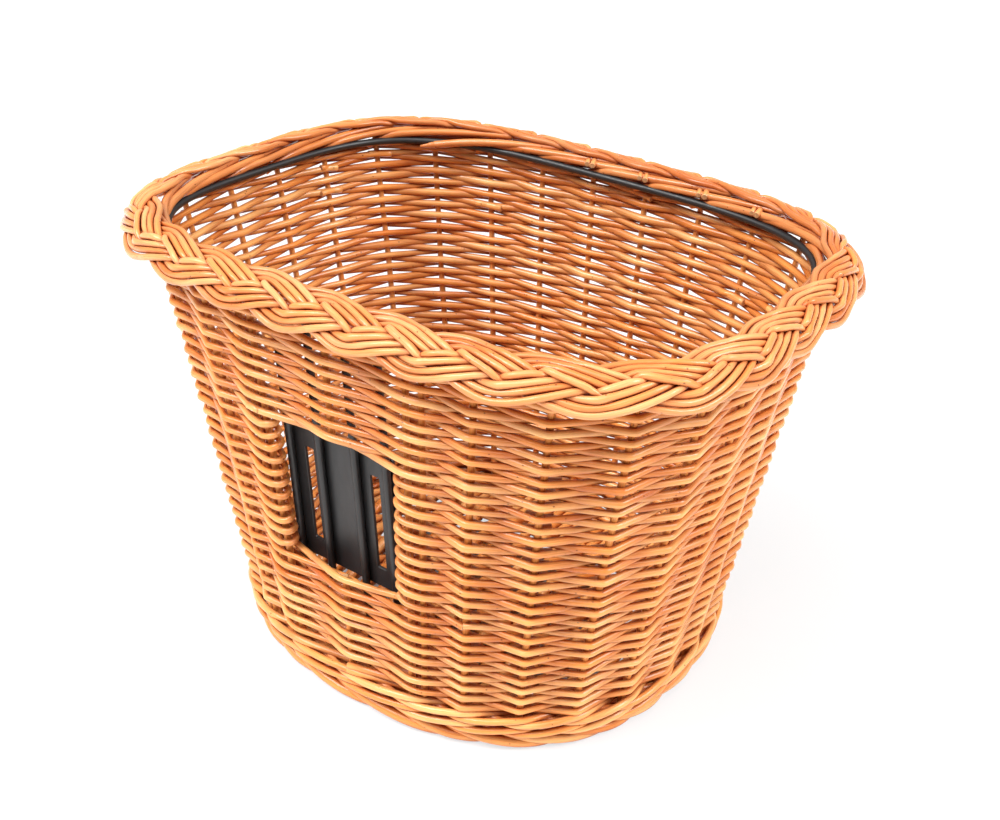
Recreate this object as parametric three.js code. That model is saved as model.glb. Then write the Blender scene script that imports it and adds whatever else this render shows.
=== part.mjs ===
// Rattan bicycle basket: a woven oval-footed basket with a plaited border, hung on a
// black steel wire frame whose slotted plate shows through a window in the back wall.
// Millimetres, +Z up. The floor is Z = 0, the back wall with the window faces -Y.
import * as THREE from 'three';

// Wall, measured along the middle of the weave
const rimWidth = 363;
const rimDepth = 270;
const rimSquareness = 3.44;
const rimTaper = -0.024;
const footWidth = 272;
const footDepth = 242;
const footSquareness = 2.36;
const footShift = 4.8;
const borderHeight = 256;

// Willow rods
const stakeTriples = 9;
const stakeDiameter = 4.5;
const weaverDiameter = 3.9;
const waleDiameter = 4.2;
const rowGap = 0.5;
const rodJoinShare = 0.4;
const clearance = 0.35;
const weaverSides = 3;
const waleSides = 4;
const stakeSides = 6;

// Window in the back wall
const windowWidth = 82;
const windowBottom = 93;
const windowTop = 178;
const rodEndShare = 0.85;

// Plaited border of three flat strands
const borderWaves = 9;
const stepsPerWave = 10;
const strandWidth = 9;
const strandThickness = 7.6;
const strandSides = 5;
const swingPerWidth = 0.95;
const liftPerThickness = 0.76;
const plaitTilt = THREE.MathUtils.degToRad(25);
const plaitOverhang = 5;

// Rolled border under the wall, and the woven base inside it
const footHeight = 11.5;
const footOutside = 6;
const footInside = 9.5;
const footChamfer = 3;
const footSegments = 42;
const baseLevel = 10;
const baseStickCount = 5;
const baseStickSpacing = 36;
const baseStickDiameter = 5;
const baseWeaverDiameter = 6;
const baseRowGap = 0.6;

// Steel frame
const hoopDiameter = 4.5;
const hoopSegments = 36;
const wireDiameter = 4.4;
const wireSides = 8;
const frameOffset = -8;
const innerWireSpacing = 25.8;
const outerWireSpacing = 70;
const innerWireBottom = 32;
const outerWireDrop = 4;
const plateWidth = 75;
const plateHeight = 91;
const plateBottom = 81;
const plateThickness = 2;
const plateCorner = 2;
const slotWidth = 6.2;
const slotLength = 62;
const slotSpacing = 47;
const slotRise = 13;
const slotCorner = 1;

const willow = { color: 0xc9853f, roughness: 0.55, metalness: 0 };
const paleWillow = { color: 0xd79a56, roughness: 0.5, metalness: 0 };
const darkWillow = { color: 0xa9662e, roughness: 0.6, metalness: 0 };
const blackSteel = { color: 0x16161a, roughness: 0.45, metalness: 0.6 };

const lengthDivisions = 1200;
const up = new THREE.Vector3(0, 0, 1);
const across = new THREE.Vector3(1, 0, 0);
const basket = new THREE.Group();

function addPiece(name, geometry, finish) {
  const mesh = new THREE.Mesh(geometry, new THREE.MeshStandardMaterial(finish));
  mesh.name = name;
  basket.add(mesh);
  return mesh;
}

// Rounded oval in plan, from the middle of the back wall round by +X
class Oval extends THREE.Curve {
  constructor(width, depth, squareness, taper, shift) {
    super();
    Object.assign(this, { halfWidth: width / 2, halfDepth: depth / 2, squareness, taper, shift });
    this.arcLengthDivisions = lengthDivisions;
  }

  getPoint(t, target = new THREE.Vector3()) {
    const angle = 2 * Math.PI * t - Math.PI / 2;
    const c = Math.cos(angle);
    const s = Math.sin(angle);
    const power = this.squareness;
    const sum = Math.abs(c / this.halfWidth) ** power + Math.abs(s / this.halfDepth) ** power;
    const reach = sum ** (-1 / power);
    const y = reach * s;
    const x = reach * c * (1 + (this.taper * y) / this.halfDepth);
    return target.set(x, y + this.shift, 0);
  }
}

const rimOval = new Oval(rimWidth, rimDepth, rimSquareness, rimTaper, 0);
const footOval = new Oval(footWidth, footDepth, footSquareness, 0, footShift);

const turn = (u) => u - Math.floor(u);

function wallMiddle(u, z) {
  const low = footOval.getPointAt(turn(u));
  const high = rimOval.getPointAt(turn(u));
  return low.lerp(high, z / borderHeight).setZ(z);
}

function wallOutward(u, z) {
  const reach = 0.002;
  const along = wallMiddle(u + reach, z).sub(wallMiddle(u - reach, z));
  return along.cross(up).normalize();
}

const wallPoint = (u, z, out) => wallMiddle(u, z).addScaledVector(wallOutward(u, z), out);

const girth = (z) => THREE.MathUtils.lerp(footOval.getLength(), rimOval.getLength(), z / borderHeight);

// Skin over a row of equal rings, closed on itself or capped at both ends
function skin(rings, closed) {
  const sides = rings[0].length;
  const corners = rings.flat().flatMap((p) => p.toArray());
  const faces = [];
  const last = closed ? rings.length : rings.length - 1;
  for (let i = 0; i < last; i += 1) {
    const a = i * sides;
    const b = ((i + 1) % rings.length) * sides;
    for (let k = 0; k < sides; k += 1) {
      const n = (k + 1) % sides;
      faces.push(a + k, a + n, b + n, a + k, b + n, b + k);
    }
  }
  const end = (rings.length - 1) * sides;
  for (let k = 1; k < sides - 1 && !closed; k += 1) {
    faces.push(0, k + 1, k, end, end + k, end + k + 1);
  }
  const geometry = new THREE.BufferGeometry();
  geometry.setAttribute('position', new THREE.Float32BufferAttribute(corners, 3));
  geometry.setIndex(faces);
  geometry.computeVertexNormals();
  return geometry;
}

function ovalRing(centre, axisA, axisB, radiusA, radiusB, sides) {
  return Array.from({ length: sides }, (_, k) => {
    const angle = (2 * Math.PI * k) / sides;
    const point = centre.clone().addScaledVector(axisA, radiusA * Math.cos(angle));
    return point.addScaledVector(axisB, radiusB * Math.sin(angle));
  });
}

function directionAt(points, i, closed) {
  const count = points.length;
  const before = closed ? points[(i + count - 1) % count] : points[Math.max(i - 1, 0)];
  const after = closed ? points[(i + 1) % count] : points[Math.min(i + 1, count - 1)];
  const arriving = points[i].clone().sub(before).normalize();
  const leaving = after.clone().sub(points[i]).normalize();
  return arriving.add(leaving).normalize();
}

// Round rod along a path, with a first corner that points away from the basket
function rod(points, radius, sides, reference, closed = false) {
  const rings = points.map((point, i) => {
    const along = directionAt(points, i, closed);
    const outward = along.clone().cross(reference).normalize();
    const other = along.clone().cross(outward);
    return ovalRing(point, outward, other, radius, radius, sides);
  });
  return skin(rings, closed);
}

// Stake stations: one in the middle of the back, one at each side of the window, the rest even
const stakeCount = 3 * stakeTriples;
const stakeRadius = stakeDiameter / 2;
const weaverRadius = weaverDiameter / 2;
const weaveReach = stakeRadius + weaverRadius + clearance;
const wallHalf = weaveReach + weaverRadius;
const postPlace = windowWidth / 2 + wallHalf;
const postTurn = postPlace / girth((windowBottom + windowTop) / 2);
const stationTurn = (1 - 2 * postTurn) / (stakeCount - 2);

function stationU(i) {
  if (i === 0 || i === stakeCount) return i / stakeCount;
  return postTurn + (i - 1) * stationTurn;
}

// Border: three strands that swing in and out across the rim, each over the next on its way back in
const strandSwing = swingPerWidth * strandWidth;
const strandLift = liftPerThickness * strandThickness;
const borderSteps = borderWaves * stepsPerWave;

function plaitAxes(u) {
  const outward = wallOutward(u, borderHeight);
  const along = up.clone().cross(outward);
  const side = outward.clone().applyAxisAngle(along, plaitTilt);
  const lift = up.clone().applyAxisAngle(along, plaitTilt);
  return { side, lift };
}

function strandPoint(u, phase) {
  const swing = 2 * Math.PI * borderWaves * u + phase;
  const { side, lift } = plaitAxes(u);
  const point = wallPoint(u, borderHeight, plaitOverhang);
  point.addScaledVector(side, strandSwing * Math.sin(swing));
  return point.addScaledVector(lift, -strandLift * Math.sin(2 * swing));
}

function strandRings(phase) {
  const points = Array.from({ length: borderSteps }, (_, i) => strandPoint(i / borderSteps, phase));
  return points.map((point, i) => {
    const along = directionAt(points, i, true);
    const { lift } = plaitAxes(i / borderSteps);
    const side = along.clone().cross(lift).normalize();
    const top = along.clone().cross(side);
    return ovalRing(point, side, top, strandWidth / 2, strandThickness / 2, strandSides);
  });
}

const borderRings = [0, 1, 2].map((k) => strandRings((2 * Math.PI * k) / 3));
borderRings.forEach((rings, k) => addPiece(`border_strand_${k + 1}`, skin(rings, true), paleWillow));
const borderCorners = borderRings.flat(2);

// Sections of the strands, as places out from the wall and up from the plait's middle
function sectionEdges(ring, u) {
  const middle = wallMiddle(u, borderHeight);
  const outward = wallOutward(u, borderHeight);
  const corners = ring.map((p) => {
    const arm = p.clone().sub(middle);
    return new THREE.Vector3(arm.dot(outward), arm.z, 0);
  });
  return corners.map((corner, k) => new THREE.Line3(corner, corners[(k + 1) % corners.length]));
}

const strandEdges = borderRings.flatMap((rings) =>
  rings.flatMap((ring, i) => sectionEdges(ring, i / borderSteps)),
);

// Height of the plait's underside over the wall's own thickness
function undersideOver(reach) {
  const level = ({ start, end }, out) => {
    const share = THREE.MathUtils.clamp((out - start.x) / (end.x - start.x || 1), 0, 1);
    return THREE.MathUtils.lerp(start.y, end.y, share);
  };
  const over = strandEdges.filter(({ start, end }) => Math.min(start.x, end.x) < reach);
  return borderHeight + Math.min(...over.map((edge) => Math.min(level(edge, -reach), level(edge, reach))));
}

const borderUnderside = undersideOver(wallHalf);

// Height of the plait's underside over a stake
function undersideAt(place) {
  const reach = strandWidth + stakeDiameter;
  const near = borderCorners.filter((p) => Math.hypot(p.x - place.x, p.y - place.y) < reach);
  return Math.min(...near.map((p) => p.z));
}

// Rows of weave: each row climbs one pitch on its way round
const rowPitch = weaverDiameter + rowGap;
const waleRadius = waleDiameter / 2;
const walePitch = waleDiameter + rowGap;
const waleBottom = footHeight + clearance + waleRadius;
const firstRow = waleBottom + 2 * walePitch + waleRadius + rowGap + weaverRadius;
const lastRow = borderUnderside - clearance - weaverRadius;
const lowerRows = Math.round((windowBottom - firstRow) / rowPitch);
const windowRows = Math.round((windowTop - windowBottom) / rowPitch);
const allRows = Math.floor((stakeCount * (lastRow - firstRow)) / rowPitch) / stakeCount;
const upperStart = lowerRows + windowRows;

const rowHeight = (row, i) => firstRow + rowPitch * (row + i / stakeCount);

function crossing(row, i) {
  const side = (row + i) % 2 === 0 ? 1 : -1;
  return wallPoint(stationU(i), rowHeight(row, i), side * weaveReach);
}

// Place along the winding, counted in stakes passed since the first row began
function windingPoint(passed) {
  const corner = (stakes) => {
    const row = Math.floor(stakes / stakeCount);
    return crossing(row, stakes - row * stakeCount);
  };
  const before = Math.floor(passed);
  return corner(before).lerp(corner(before + 1), passed - before);
}

// One long weaver that winds round and round, in front of one stake and behind the next
function windingWeaver(from, to) {
  const points = [windingPoint(from)];
  for (let stakes = Math.floor(from) + 1; stakes < to; stakes += 1) {
    points.push(windingPoint(stakes));
  }
  points.push(windingPoint(to));
  return rod(points, weaverRadius, weaverSides, up);
}

// One long weaver that goes to and fro from post to post, bent back round each post
function turningWeaver(fromRow, toRow) {
  const points = [];
  for (let row = fromRow; row < toRow; row += 1) {
    const forward = (row - fromRow) % 2 === 0;
    for (let k = 1; k < stakeCount; k += 1) {
      points.push(crossing(row, forward ? k : stakeCount - k));
    }
    if (row < toRow - 1) {
      points.push(...bendRound(row, forward ? stakeCount - 1 : 1));
    }
  }
  return rod(points, weaverRadius, weaverSides, up);
}

function bendRound(row, i) {
  const side = (row + i) % 2 === 0 ? 1 : -1;
  const towardWindow = i === 1 ? -1 : 1;
  const low = rowHeight(row, i);
  const u = stationU(i) + (towardWindow * weaveReach) / girth(low);
  return [wallPoint(u, low, side * weaveReach), wallPoint(u, low + rowPitch, -side * weaveReach)];
}

const middleRow = (fromRow, toRow) => Math.ceil((fromRow + toRow) / 2);
const passedBy = (row) => row * stakeCount;
const joinBefore = (row) => passedBy(row) - 1 + rodJoinShare;

// Below the window the winding runs on along the sill, above it the winding begins along the lintel
const lowerMiddle = middleRow(0, lowerRows);
addPiece('lower_weave_1', windingWeaver(0, joinBefore(lowerMiddle)), willow);
addPiece('lower_weave_2', windingWeaver(passedBy(lowerMiddle), passedBy(lowerRows) + rodEndShare), willow);

const sideMiddle = middleRow(lowerRows, upperStart);
addPiece('side_weave_1', turningWeaver(lowerRows, sideMiddle), willow);
addPiece('side_weave_2', turningWeaver(sideMiddle, upperStart), willow);

const upperMiddle = middleRow(upperStart, Math.floor(allRows));
addPiece('upper_weave_1', windingWeaver(passedBy(upperStart) - rodEndShare, joinBefore(upperMiddle)), willow);
addPiece('upper_weave_2', windingWeaver(passedBy(upperMiddle), joinBefore(allRows)), willow);

// Wale under the weave: three rods, each in front of two stakes and behind the third
function waleRod(first) {
  const waleReach = stakeRadius + waleRadius + clearance;
  const points = Array.from({ length: stakeCount }, (_, i) => {
    const phase = (i + first) % 3;
    const level = (phase + 1) % 3;
    const out = phase === 0 ? -waleReach : waleReach;
    return wallPoint(stationU(i), waleBottom + level * walePitch, out);
  });
  return rod(points, waleRadius, waleSides, up, true);
}

[0, 1, 2].forEach((k) => addPiece(`wale_rod_${k + 1}`, waleRod(k), willow));

// Stakes from the foot up to the underside of the plait
function stake(i, bottom, top) {
  const ends = [wallMiddle(stationU(i), bottom), wallMiddle(stationU(i), top)];
  return rod(ends, stakeRadius, stakeSides, across);
}

const stakeBottom = footHeight + clearance;
const stakeTop = (i) => undersideAt(wallMiddle(stationU(i), borderUnderside)) - clearance;

for (let i = 1; i < stakeCount; i += 1) {
  const number = String(i).padStart(2, '0');
  addPiece(`stake_${number}`, stake(i, stakeBottom, stakeTop(i)), darkWillow);
}
const sill = rowHeight(lowerRows, 0) + weaverRadius;
const lintel = rowHeight(upperStart, 0) - weaverRadius;
addPiece('centre_stake_lower', stake(0, stakeBottom, sill), darkWillow);
addPiece('centre_stake_upper', stake(0, lintel, stakeTop(0)), darkWillow);

// Foot border: a rolled ring with a flat underside
function footRing(u) {
  const profile = [
    [footChamfer - footInside, 0],
    [-footInside, footChamfer],
    [-footInside, footHeight - footChamfer],
    [footChamfer - footInside, footHeight],
    [footOutside - footChamfer, footHeight],
    [footOutside, footHeight - footChamfer],
    [footOutside, footChamfer],
    [footOutside - footChamfer, 0],
  ];
  return profile.map(([out, z]) => wallPoint(u, 0, out).setZ(z));
}

const footRings = Array.from({ length: footSegments }, (_, i) => footRing(i / footSegments));
addPiece('foot_border', skin(footRings, true), willow);

// Base: long sticks, and one weaver to and fro across them
const baseStickRadius = baseStickDiameter / 2;
const baseWeaverRadius = baseWeaverDiameter / 2;
const baseReach = baseStickRadius + baseWeaverRadius + clearance;

// Half length of the base along X at a distance from its middle line, and the other way about
function ovalReach(distance, alongHalf, acrossHalf) {
  const rest = 1 - Math.min(Math.abs(distance) / acrossHalf, 1) ** footSquareness;
  return alongHalf * rest ** (1 / footSquareness);
}

const floorHalfWidth = footWidth / 2 - footInside - clearance;
const floorHalfDepth = footDepth / 2 - footInside - clearance;
const bendReach = baseWeaverRadius * Math.SQRT1_2;
const matHalfWidth = floorHalfWidth - bendReach;
const matHalfDepth = floorHalfDepth - bendReach;
const stickY = (j) => (j - (baseStickCount - 1) / 2) * baseStickSpacing;

// A stick ends inside the last row that bends round it
const lastCrossing = (j) => ovalReach(Math.abs(stickY(j)) + baseReach, matHalfWidth, matHalfDepth);
const stickHalf = (j) => lastCrossing(j) - baseWeaverRadius - clearance;

for (let j = 0; j < baseStickCount; j += 1) {
  const half = stickHalf(j);
  const ends = [-half, half].map((x) => new THREE.Vector3(x, stickY(j) + footShift, baseLevel));
  const geometry = rod(ends, baseStickRadius, stakeSides, up);
  addPiece(`base_stick_${j + 1}`, geometry, darkWillow);
}

function baseRow(x, row) {
  const half = ovalReach(x, matHalfDepth, matHalfWidth);
  const points = [new THREE.Vector3(x, footShift - half, baseLevel)];
  for (let j = 0; j < baseStickCount; j += 1) {
    if (Math.abs(x) < lastCrossing(j)) {
      const side = (row + j) % 2 === 0 ? 1 : -1;
      points.push(new THREE.Vector3(x, footShift + stickY(j), baseLevel + side * baseReach));
    }
  }
  points.push(new THREE.Vector3(x, footShift + half, baseLevel));
  return row % 2 === 0 ? points : points.reverse();
}

const basePitch = baseWeaverDiameter + baseRowGap;
const shortestRow = 2 * (baseReach + baseWeaverRadius);
const matReach = ovalReach(shortestRow, matHalfWidth, matHalfDepth);
const baseRows = 1 + 2 * Math.floor(matReach / basePitch);
const baseRowX = (row) => (row - (baseRows - 1) / 2) * basePitch;
const basePath = Array.from({ length: baseRows }, (_, row) => baseRow(baseRowX(row), row)).flat();
addPiece('base_weave', rod(basePath, baseWeaverRadius, weaverSides, up), willow);

// Steel hoop, just inside the weave and pushed up against the underside of the plait
const hoopRadius = hoopDiameter / 2;
const wireRadius = wireDiameter / 2;
const hoopOut = -(wallHalf + clearance + hoopRadius);

// Least gap between the strands and the hoop's section, a drop below the plait's middle
function hoopGap(drop) {
  const centre = new THREE.Vector3(hoopOut, -drop, 0);
  const nearest = new THREE.Vector3();
  const gaps = strandEdges.map((edge) => {
    edge.closestPointToPoint(centre, true, nearest);
    return nearest.distanceTo(centre);
  });
  return Math.min(...gaps) - hoopRadius;
}

function hoopDrop() {
  const step = 0.05;
  let drop = 0;
  while (hoopGap(drop) < clearance) {
    drop += step;
  }
  return drop;
}

const hoopHeight = borderHeight - hoopDrop();
const hoopPoint = (u) => wallPoint(u, borderHeight, hoopOut).setZ(hoopHeight);
const hoopPoints = Array.from({ length: hoopSegments }, (_, i) => hoopPoint(i / hoopSegments));
addPiece('rim_hoop', rod(hoopPoints, hoopRadius, wireSides, up, true), blackSteel);

// Uprights in one plane behind the back wall, from the hoop down to the plate or past it
function backWallY(x, z) {
  const refinements = 6;
  let u = x / girth(z);
  for (let k = 0; k < refinements; k += 1) {
    u += (x - wallMiddle(u, z).x) / girth(z);
  }
  return wallMiddle(u, z).y;
}

const hoopBack = hoopPoint(0);
const wireTop = hoopBack.z - hoopRadius - clearance;
const outerWireX = Math.abs(frameOffset) + outerWireSpacing / 2;
const plateBack = backWallY(outerWireX, plateBottom) + wallHalf + clearance + wireRadius;
const frameLean = Math.atan2(plateBack - hoopBack.y, hoopBack.z - plateBottom);
const wireY = (z) => plateBack - Math.tan(frameLean) * (z - plateBottom);

function addUpright(name, place, bottom) {
  const x = frameOffset + place;
  const ends = [bottom, wireTop].map((z) => new THREE.Vector3(x, wireY(z), z));
  addPiece(name, rod(ends, wireRadius, wireSides, across), blackSteel);
}

addUpright('upright_outer_left', -outerWireSpacing / 2, plateBottom - outerWireDrop);
addUpright('upright_inner_left', -innerWireSpacing / 2, innerWireBottom);
addUpright('upright_inner_right', innerWireSpacing / 2, innerWireBottom);
addUpright('upright_outer_right', outerWireSpacing / 2, plateBottom - outerWireDrop);

// Plate on the inner side of the uprights, with a tall slot at each side
function roundedRect(path, x, y, width, height, corner) {
  path.moveTo(x + corner, y);
  path.lineTo(x + width - corner, y);
  path.absarc(x + width - corner, y + corner, corner, -Math.PI / 2, 0);
  path.lineTo(x + width, y + height - corner);
  path.absarc(x + width - corner, y + height - corner, corner, 0, Math.PI / 2);
  path.lineTo(x + corner, y + height);
  path.absarc(x + corner, y + height - corner, corner, Math.PI / 2, Math.PI);
  path.lineTo(x, y + corner);
  path.absarc(x + corner, y + corner, corner, Math.PI, 1.5 * Math.PI);
  return path;
}

const plateShape = roundedRect(new THREE.Shape(), -plateWidth / 2, 0, plateWidth, plateHeight, plateCorner);
[-1, 1].forEach((side) => {
  const left = (side * slotSpacing) / 2 - slotWidth / 2;
  plateShape.holes.push(roundedRect(new THREE.Path(), left, slotRise, slotWidth, slotLength, slotCorner));
});
const plateSettings = { depth: plateThickness, bevelEnabled: false, curveSegments: 1 };
const plate = addPiece('mount_plate', new THREE.ExtrudeGeometry(plateShape, plateSettings), blackSteel);
const plateSink = wireRadius + clearance + plateThickness;
plate.rotation.x = Math.PI / 2 + frameLean;
plate.position.set(
  frameOffset,
  wireY(plateBottom) + plateSink * Math.cos(frameLean),
  plateBottom + plateSink * Math.sin(frameLean),
);

export default basket;
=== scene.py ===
import math

import bpy
import numpy as np
from mathutils import Matrix, Vector


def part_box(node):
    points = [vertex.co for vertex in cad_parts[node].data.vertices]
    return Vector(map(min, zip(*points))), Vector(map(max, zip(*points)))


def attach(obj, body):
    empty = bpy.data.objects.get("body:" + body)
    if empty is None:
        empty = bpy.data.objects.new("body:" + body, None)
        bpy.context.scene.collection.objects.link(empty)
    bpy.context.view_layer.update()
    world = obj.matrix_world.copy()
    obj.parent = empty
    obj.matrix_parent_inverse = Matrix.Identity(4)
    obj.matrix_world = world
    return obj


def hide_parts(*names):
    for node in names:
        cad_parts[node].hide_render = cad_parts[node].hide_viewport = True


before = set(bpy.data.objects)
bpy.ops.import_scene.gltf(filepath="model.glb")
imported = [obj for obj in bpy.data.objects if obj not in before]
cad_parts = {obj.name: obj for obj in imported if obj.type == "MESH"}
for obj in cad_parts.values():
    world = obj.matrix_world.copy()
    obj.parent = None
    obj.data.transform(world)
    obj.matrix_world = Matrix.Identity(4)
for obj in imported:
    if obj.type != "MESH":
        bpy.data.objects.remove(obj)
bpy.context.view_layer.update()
mm = 0.001
tiny = 1e-9
upward = np.array([0.0, 0.0, 1.0])
sideways = np.array([1.0, 0.0, 0.0])
print("frame loaded with", len(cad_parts), "nodes")

# same wall as the solids: two rounded ovals, foot and rim, with straight sides between them
wall = {
    "rimWidth": 363 * mm,
    "rimDepth": 270 * mm,
    "rimSquareness": 3.44,
    "rimTaper": -0.024,
    "footWidth": 272 * mm,
    "footDepth": 242 * mm,
    "footSquareness": 2.36,
    "footShift": 4.8 * mm,
    "height": 256 * mm,
    "stakes": 27,
    "windowWidth": 82 * mm,
    "windowBottom": 93 * mm,
    "windowTop": 178 * mm,
    "postInset": 6.5 * mm,
}


def ovalLine(width, depth, squareness, taper, shift, steps=4000):
    angle = np.linspace(0, 2 * np.pi, steps + 1) - np.pi / 2
    c, s = np.cos(angle), np.sin(angle)
    reach = (np.abs(2 * c / width) ** squareness + np.abs(2 * s / depth) ** squareness) ** (-1 / squareness)
    y = reach * s
    x = reach * c * (1 + 2 * taper * y / depth)
    length = np.concatenate([[0], np.cumsum(np.hypot(np.diff(x), np.diff(y)))])
    return {"share": length / length[-1], "x": x, "y": y + shift, "girth": length[-1]}


rimOval = ovalLine(wall["rimWidth"], wall["rimDepth"], wall["rimSquareness"], wall["rimTaper"], 0)
footOval = ovalLine(wall["footWidth"], wall["footDepth"], wall["footSquareness"], 0, wall["footShift"])


def ovalAt(oval, u):
    share = np.mod(u, 1)
    return np.stack([np.interp(share, oval["share"], oval[axis]) for axis in ("x", "y")], -1)


def wallMiddle(u, z):
    share = (z / wall["height"])[..., None]
    return ovalAt(footOval, u) * (1 - share) + ovalAt(rimOval, u) * share


def wallOutward(u, z):
    step = 0.002
    along = wallMiddle(u + step, z) - wallMiddle(u - step, z)
    along /= np.linalg.norm(along, axis=-1, keepdims=True)
    return np.stack([along[..., 1], -along[..., 0], np.zeros(along.shape[:-1])], -1)


def wallAt(u, z, out):
    u, z, out = (np.array(v, float) for v in np.broadcast_arrays(u, z, out))
    flat = np.concatenate([wallMiddle(u, z), z[..., None]], -1)
    return flat + wallOutward(u, z) * out[..., None]


def girthAt(z):
    share = z / wall["height"]
    return footOval["girth"] * (1 - share) + rimOval["girth"] * share


def farShare(points):
    # 1 at the rim of the far wall, -1 at the rim of the wall with the window
    return points[:, 1] / (wall["rimDepth"] / 2)


# stake places round the wall: 0 is the middle of the back, 1 and 26 stand beside the window
lastStake = wall["stakes"] - 1
windowMiddle = (wall["windowBottom"] + wall["windowTop"]) / 2
postTurn = (wall["windowWidth"] / 2 + wall["postInset"]) / girthAt(windowMiddle)
stationTurns = np.concatenate([[0], np.linspace(postTurn, 1 - postTurn, lastStake), [1]])


def stationTurn(station):
    whole = np.floor(np.asarray(station, float) / wall["stakes"])
    rest = np.asarray(station, float) - whole * wall["stakes"]
    return whole + np.interp(rest, np.arange(wall["stakes"] + 1), stationTurns)


# rods: tubes along a line of points, with a slightly rounded edge at each cut end
rodShape = {
    "steep": 0.8,
    "grainSlice": 83,
    "mostEase": 0.4,
    "fullBow": 30 * mm,
}


def rodFrames(points, closed):
    leaving = np.roll(points, -1, 0) - points
    leaving /= np.maximum(np.linalg.norm(leaving, axis=1), tiny)[:, None]
    if not closed:
        leaving[-1] = leaving[-2]
    arriving = np.roll(leaving, 1, 0)
    if not closed:
        arriving[0] = leaving[0]
    ahead = leaving + arriving
    ahead /= np.linalg.norm(ahead, axis=1)[:, None]
    side = np.empty_like(points)
    arm = upward if abs(ahead[0, 2]) < rodShape["steep"] else sideways
    for i, heading in enumerate(ahead):
        arm = arm - heading * np.dot(arm, heading)
        arm = arm / np.linalg.norm(arm)
        side[i] = arm
    other = np.cross(ahead, side)
    if closed:  # spread the twist so that the last ring meets the first
        back = arm - ahead[0] * np.dot(arm, ahead[0])
        twist = math.atan2(np.dot(back, other[0]), np.dot(back, side[0]))
        turn = -twist * np.arange(len(points))[:, None] / len(points)
        side, other = side * np.cos(turn) + other * np.sin(turn), other * np.cos(turn) - side * np.sin(turn)
    return ahead, side, other


def makeRod(points, radius, sides=9, closed=False, tone=0.5, depth=0.0, rounding=0.2):
    points = np.asarray(points, float)
    radius, depth, tone = (np.broadcast_to(v, len(points)).astype(float) for v in (radius, depth, tone))
    ahead, side, other = rodFrames(points, closed)
    if not closed:  # a small rounded edge before each cut end
        points = np.concatenate([[points[0] - ahead[0] * radius[0] * rounding], points,
                                 [points[-1] + ahead[-1] * radius[-1] * rounding]])
        radius = np.concatenate([[radius[0] * (1 - rounding)], radius, [radius[-1] * (1 - rounding)]])
        depth, tone, side, other = (np.concatenate([a[:1], a, a[-1:]]) for a in (depth, tone, side, other))
    count = len(points)
    angle = 2 * np.pi * np.arange(sides) / sides
    ring = np.cos(angle)[None, :, None] * side[:, None] + np.sin(angle)[None, :, None] * other[:, None]
    corners = (points[:, None] + ring * radius[:, None, None]).reshape(-1, 3)
    spans = count if closed else count - 1
    i, k = (a.ravel() for a in np.meshgrid(np.arange(spans), np.arange(sides), indexing="ij"))
    j, n = (i + 1) % count, (k + 1) % sides
    faces = np.stack([i * sides + k, i * sides + n, j * sides + n, j * sides + k], -1)
    steps = np.linalg.norm(np.roll(points, -1, 0) - points, axis=1)
    length = np.concatenate([[0], np.cumsum(steps)])
    girth = 2 * np.pi * radius.mean() / sides
    along = np.stack([length[i], length[i], length[i + 1], length[i + 1]], -1)
    along += rodShape["grainSlice"] * tone[0]  # each rod has its own slice of the grain
    around = np.stack([k, k + 1, k + 1, k], -1) * girth
    cut = np.zeros(len(corners))
    caps = []
    if not closed:
        caps = [np.arange(sides)[::-1], np.arange(sides) + (count - 1) * sides]
        cut[:sides] = cut[-sides:] = 1
    return {"corners": corners, "faces": faces, "caps": caps, "cut": cut, "tone": np.repeat(tone, sides),
            "depth": np.repeat(depth, sides), "uv": np.stack([along, around], -1).reshape(-1, 2),
            "capUv": np.stack([np.cos(angle), np.sin(angle)], -1)}


def bentPath(corners, ease, bow):
    # straight runs from bend to bend, a short curve at each bend and a slight bow in each run
    corners = np.asarray(corners, float)
    runs = np.diff(corners, axis=0)
    lengths = np.linalg.norm(runs, axis=1)
    headings = runs / lengths[:, None]
    reach = np.minimum(ease, rodShape["mostEase"] * np.minimum(lengths[:-1], lengths[1:]))[:, None]
    before = corners[1:-1] - headings[:-1] * reach
    after = corners[1:-1] + headings[1:] * reach
    bend = 0.5 * corners[1:-1] + 0.25 * (before + after)  # half-way along the short curve
    bowShare = np.minimum(1, lengths / rodShape["fullBow"])[:, None]
    middles = (corners[:-1] + corners[1:]) / 2 + bow * bowShare
    inside = np.stack([before, bend, after, middles[1:]], 1).reshape(-1, 3)
    return np.concatenate([corners[:1], middles[:1], inside, corners[-1:]])


def smoothed(points):
    points[1:-1] = (points[:-2] + 2 * points[1:-1] + points[2:]) / 4
    return points


def evenTurns(count):
    return np.arange(count) / count


def addObject(name, data):
    thing = bpy.data.objects.new(name, data)
    bpy.context.scene.collection.objects.link(thing)
    return thing


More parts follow.
